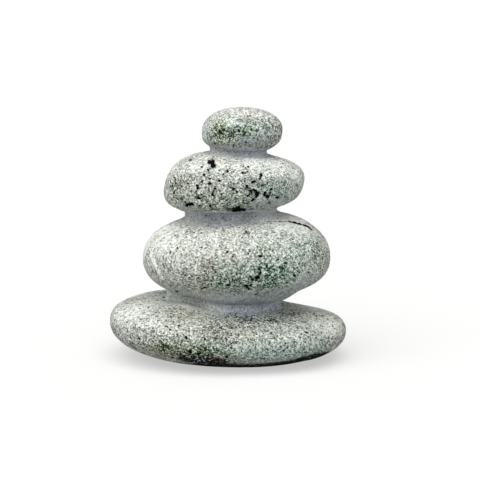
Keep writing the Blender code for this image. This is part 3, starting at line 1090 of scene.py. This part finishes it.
lowerBed = {
    **bedLook,
    "node": "lower_mortar_bed",
    "stones": ("base_stone", "second_stone"),
    "middle": (-4.3, 0.0, 62.0),
    "half": (57.5, 48.0),  # width and depth
    "flatLeft": 8.0,
    "lean": -5.4,  # degrees
    "fillets": (1.0, 2.5, 2.0),  # above, below, and more of both at the front left
    # painted light: the whole collar is made paler in the neck's shade, and its left more so
    "sideShadeAndTint": {
        "left": (1.34, 1.32, 1.24),
        "middle": (1.20, 1.21, 1.29),
        "right": (1.20, 1.21, 1.29),
        "spans": (-34.0, 16.0, 20.0, 50.0),
    },
    "footLightTint": (1.0, 1.0, 1.0),  # painted light over the lower half, which faces up
    "crease": 1.0,  # how dark the painted shade line under the stone above is
    "caps": (6.0, 9.0),  # how far the closed ends stand above and below the middle
    "grid": (520, 90),  # around and along
    "seed": 2,
}

middleBed = {
    **bedLook,
    "node": "middle_mortar_bed",
    "stones": ("second_stone", "third_stone"),
    "middle": (3.0, 0.0, 147.0),
    "half": (46.0, 39.5),
    "lean": 4.1,
    "fillets": (2.5, 10.0, 4.0),
    # painted shade darkens the collar, most of all in the middle
    "sideShadeAndTint": {
        "left": (0.80, 0.79, 0.76),
        "middle": (0.48, 0.48, 0.50),
        "right": (0.94, 0.94, 0.95),
        "spans": (-46.0, -12.0, 16.0, 46.0),
    },
    # painted light over the lower half
    "footLightTint": (1.40, 1.40, 1.38),
    "crease": 0.25,
    "caps": (6.0, 8.0),
    "grid": (460, 64),
    "seed": 4,
}

upperBed = {
    **bedLook,
    "node": "upper_mortar_bed",
    "stones": ("third_stone", "top_stone"),
    "middle": (10.5, 0.0, 209.0),
    "half": (28.5, 24.5),
    "lean": -1.5,
    "fillets": (3.0, 5.0, 2.0),
    # painted shade darkens the collar, most of all in the middle
    "sideShadeAndTint": {
        "left": (0.77, 0.76, 0.72),
        "middle": (0.57, 0.56, 0.60),
        "right": (0.80, 0.80, 0.83),
        "spans": (-16.0, 2.0, 18.0, 36.0),
    },
    # painted light over the lower half
    "footLightTint": (1.30, 1.30, 1.28),
    "crease": 0.15,
    "caps": (4.0, 5.0),
    "grid": (360, 52),
    "seed": 6,
}


def makeCollar(bed, tree, stones):
    values = {
        "Around": bed["grid"][0],
        "Along": bed["grid"][1],
        "Middle": tuple(side * mm for side in bed["middle"]),
        "Half Width": bed["half"][0] * mm,
        "Half Depth": bed["half"][1] * mm,
        "Slope": math.tan(math.radians(bed["lean"])),
        "Stone Below": stones[bed["stones"][0]],
        "Stone Above": stones[bed["stones"][1]],
        "Fillet Above": bed["fillets"][0] * mm,
        "Fillet Below": bed["fillets"][1] * mm,
        "Fillet Left": bed["fillets"][2] * mm,
        "Flat Left": bed["flatLeft"] * mm,
        "Cap Above": bed["caps"][0] * mm,
        "Cap Below": bed["caps"][1] * mm,
        "Embed": bed["embed"] * mm,
        "Reach": bed["reach"] * mm,
        "Wobble": bed["wobble"] * mm,
        "Trowel Height": bed["trowel"][0] * mm,
        "Trowel Width": bed["trowel"][1],
        "Sand Height": bed["sand"][0] * mm,
        "Sand Width": bed["sand"][1],
        "Pit Depth": bed["pitDepth"] * mm,
        "Mortar": mortarMaterial(bed),
        **pitValues(bed),
    }
    seed = newPiece(bed["node"] + " seed", bpy.data.meshes.new("seed"))
    mesh = growSkin(seed, tree, values)
    return newPiece(bed["node"] + "_finished", mesh)


skinTree = pebbleSkinTree()
stones = {}
for look in (baseStone, secondStone, thirdStone, topStone):
    stone = makePebble(look, skinTree)
    stones[look["node"]] = stone
    print("stone:", stone.name, len(stone.data.polygons), "faces")

collarTree = mortarCollarTree()
collars = {}
for bed in (lowerBed, middleBed, upperBed):
    collar = makeCollar(bed, collarTree, stones)
    collars[bed["node"]] = collar
    print("mortar:", collar.name, len(collar.data.polygons), "faces")

for nodeName, piece in {**stones, **collars}.items():
    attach(piece, "root")
    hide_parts(nodeName)


studio = {
    "floorSize": 40.0,
    "floorColour": (0.50, 0.50, 0.495),  # as the light meets it
    "floorSeen": (0.34, 0.34, 0.338),  # as the camera does, with a glow of its own
    "floorGlow": (0.50, 0.50, 0.497),
    "floorRoughness": 0.95,
    "floorGloss": 0.1,
    "keyStrength": 3.45,
    "keyAngle": 80.0,  # a wide, soft key
    "keyFrom": (-0.25, -0.60, 1.15),
    "worldStrength": 0.532,
    "backdrop": (1.0, 1.0, 0.998),
}

camera = {
    "aim": (12.2 * mm, 0.0, 118.5 * mm),
    "distance": 2.012,
    "elevation": 9.0,
    "lens": 150.0,
    "sight": 100.0,
}


def makeFloor():
    bm = bmesh.new()
    bmesh.ops.create_grid(bm, x_segments=1, y_segments=1, size=studio["floorSize"] / 2)
    mesh = bpy.data.meshes.new("floor")
    bm.to_mesh(mesh)
    bm.free()
    floor = newPiece("floor", mesh)
    material, graph = newMaterial("floor paper")
    seen = graph.add("ShaderNodeLightPath", None, None, "Is Camera Ray")
    paper = {
        "Base Color": graph.mix(seen, studio["floorColour"], studio["floorSeen"]),
        "Emission Color": graph.mix(seen, (0.0, 0.0, 0.0), studio["floorGlow"]),
        "Emission Strength": 1.0,
        "Roughness": studio["floorRoughness"],
        "Specular IOR Level": studio["floorGloss"],
    }
    shader = graph.add("ShaderNodeBsdfPrincipled", None, paper, "BSDF")
    graph.add("ShaderNodeOutputMaterial", None, {"Surface": shader})
    mesh.materials.append(material)


def makeLights():
    key = bpy.data.lights.new("key", "SUN")
    key.energy = studio["keyStrength"]
    key.angle = math.radians(studio["keyAngle"])
    lamp = bpy.data.objects.new("key", key)
    lamp.rotation_euler = Vector(studio["keyFrom"]).to_track_quat("Z", "Y").to_euler()
    bpy.context.scene.collection.objects.link(lamp)
    world = bpy.data.worlds.new("studio")
    bpy.context.scene.world = world
    world.use_nodes = True
    world.node_tree.nodes.clear()
    graph = Graph(world.node_tree)
    seen = graph.add("ShaderNodeLightPath", None, None, "Is Camera Ray")
    strength = studio["worldStrength"] + (1.0 - studio["worldStrength"]) * seen
    sky = graph.add("ShaderNodeBackground", None, {"Color": studio["backdrop"], "Strength": strength})
    graph.add("ShaderNodeOutputWorld", None, {"Surface": sky})


def makeCamera():
    lens = bpy.data.cameras.new("camera")
    lens.lens = camera["lens"]
    lens.clip_end = camera["sight"]
    view = bpy.data.objects.new("camera", lens)
    tilt = math.radians(camera["elevation"])
    back = Vector((0.0, -math.cos(tilt), math.sin(tilt)))
    view.location = Vector(camera["aim"]) + back * camera["distance"]
    view.rotation_euler = (math.pi / 2 - tilt, 0.0, 0.0)
    bpy.context.scene.collection.objects.link(view)
    bpy.context.scene.camera = view


makeFloor()
makeLights()
makeCamera()
bpy.context.scene.view_settings.view_transform = "Standard"
print("stage ready")
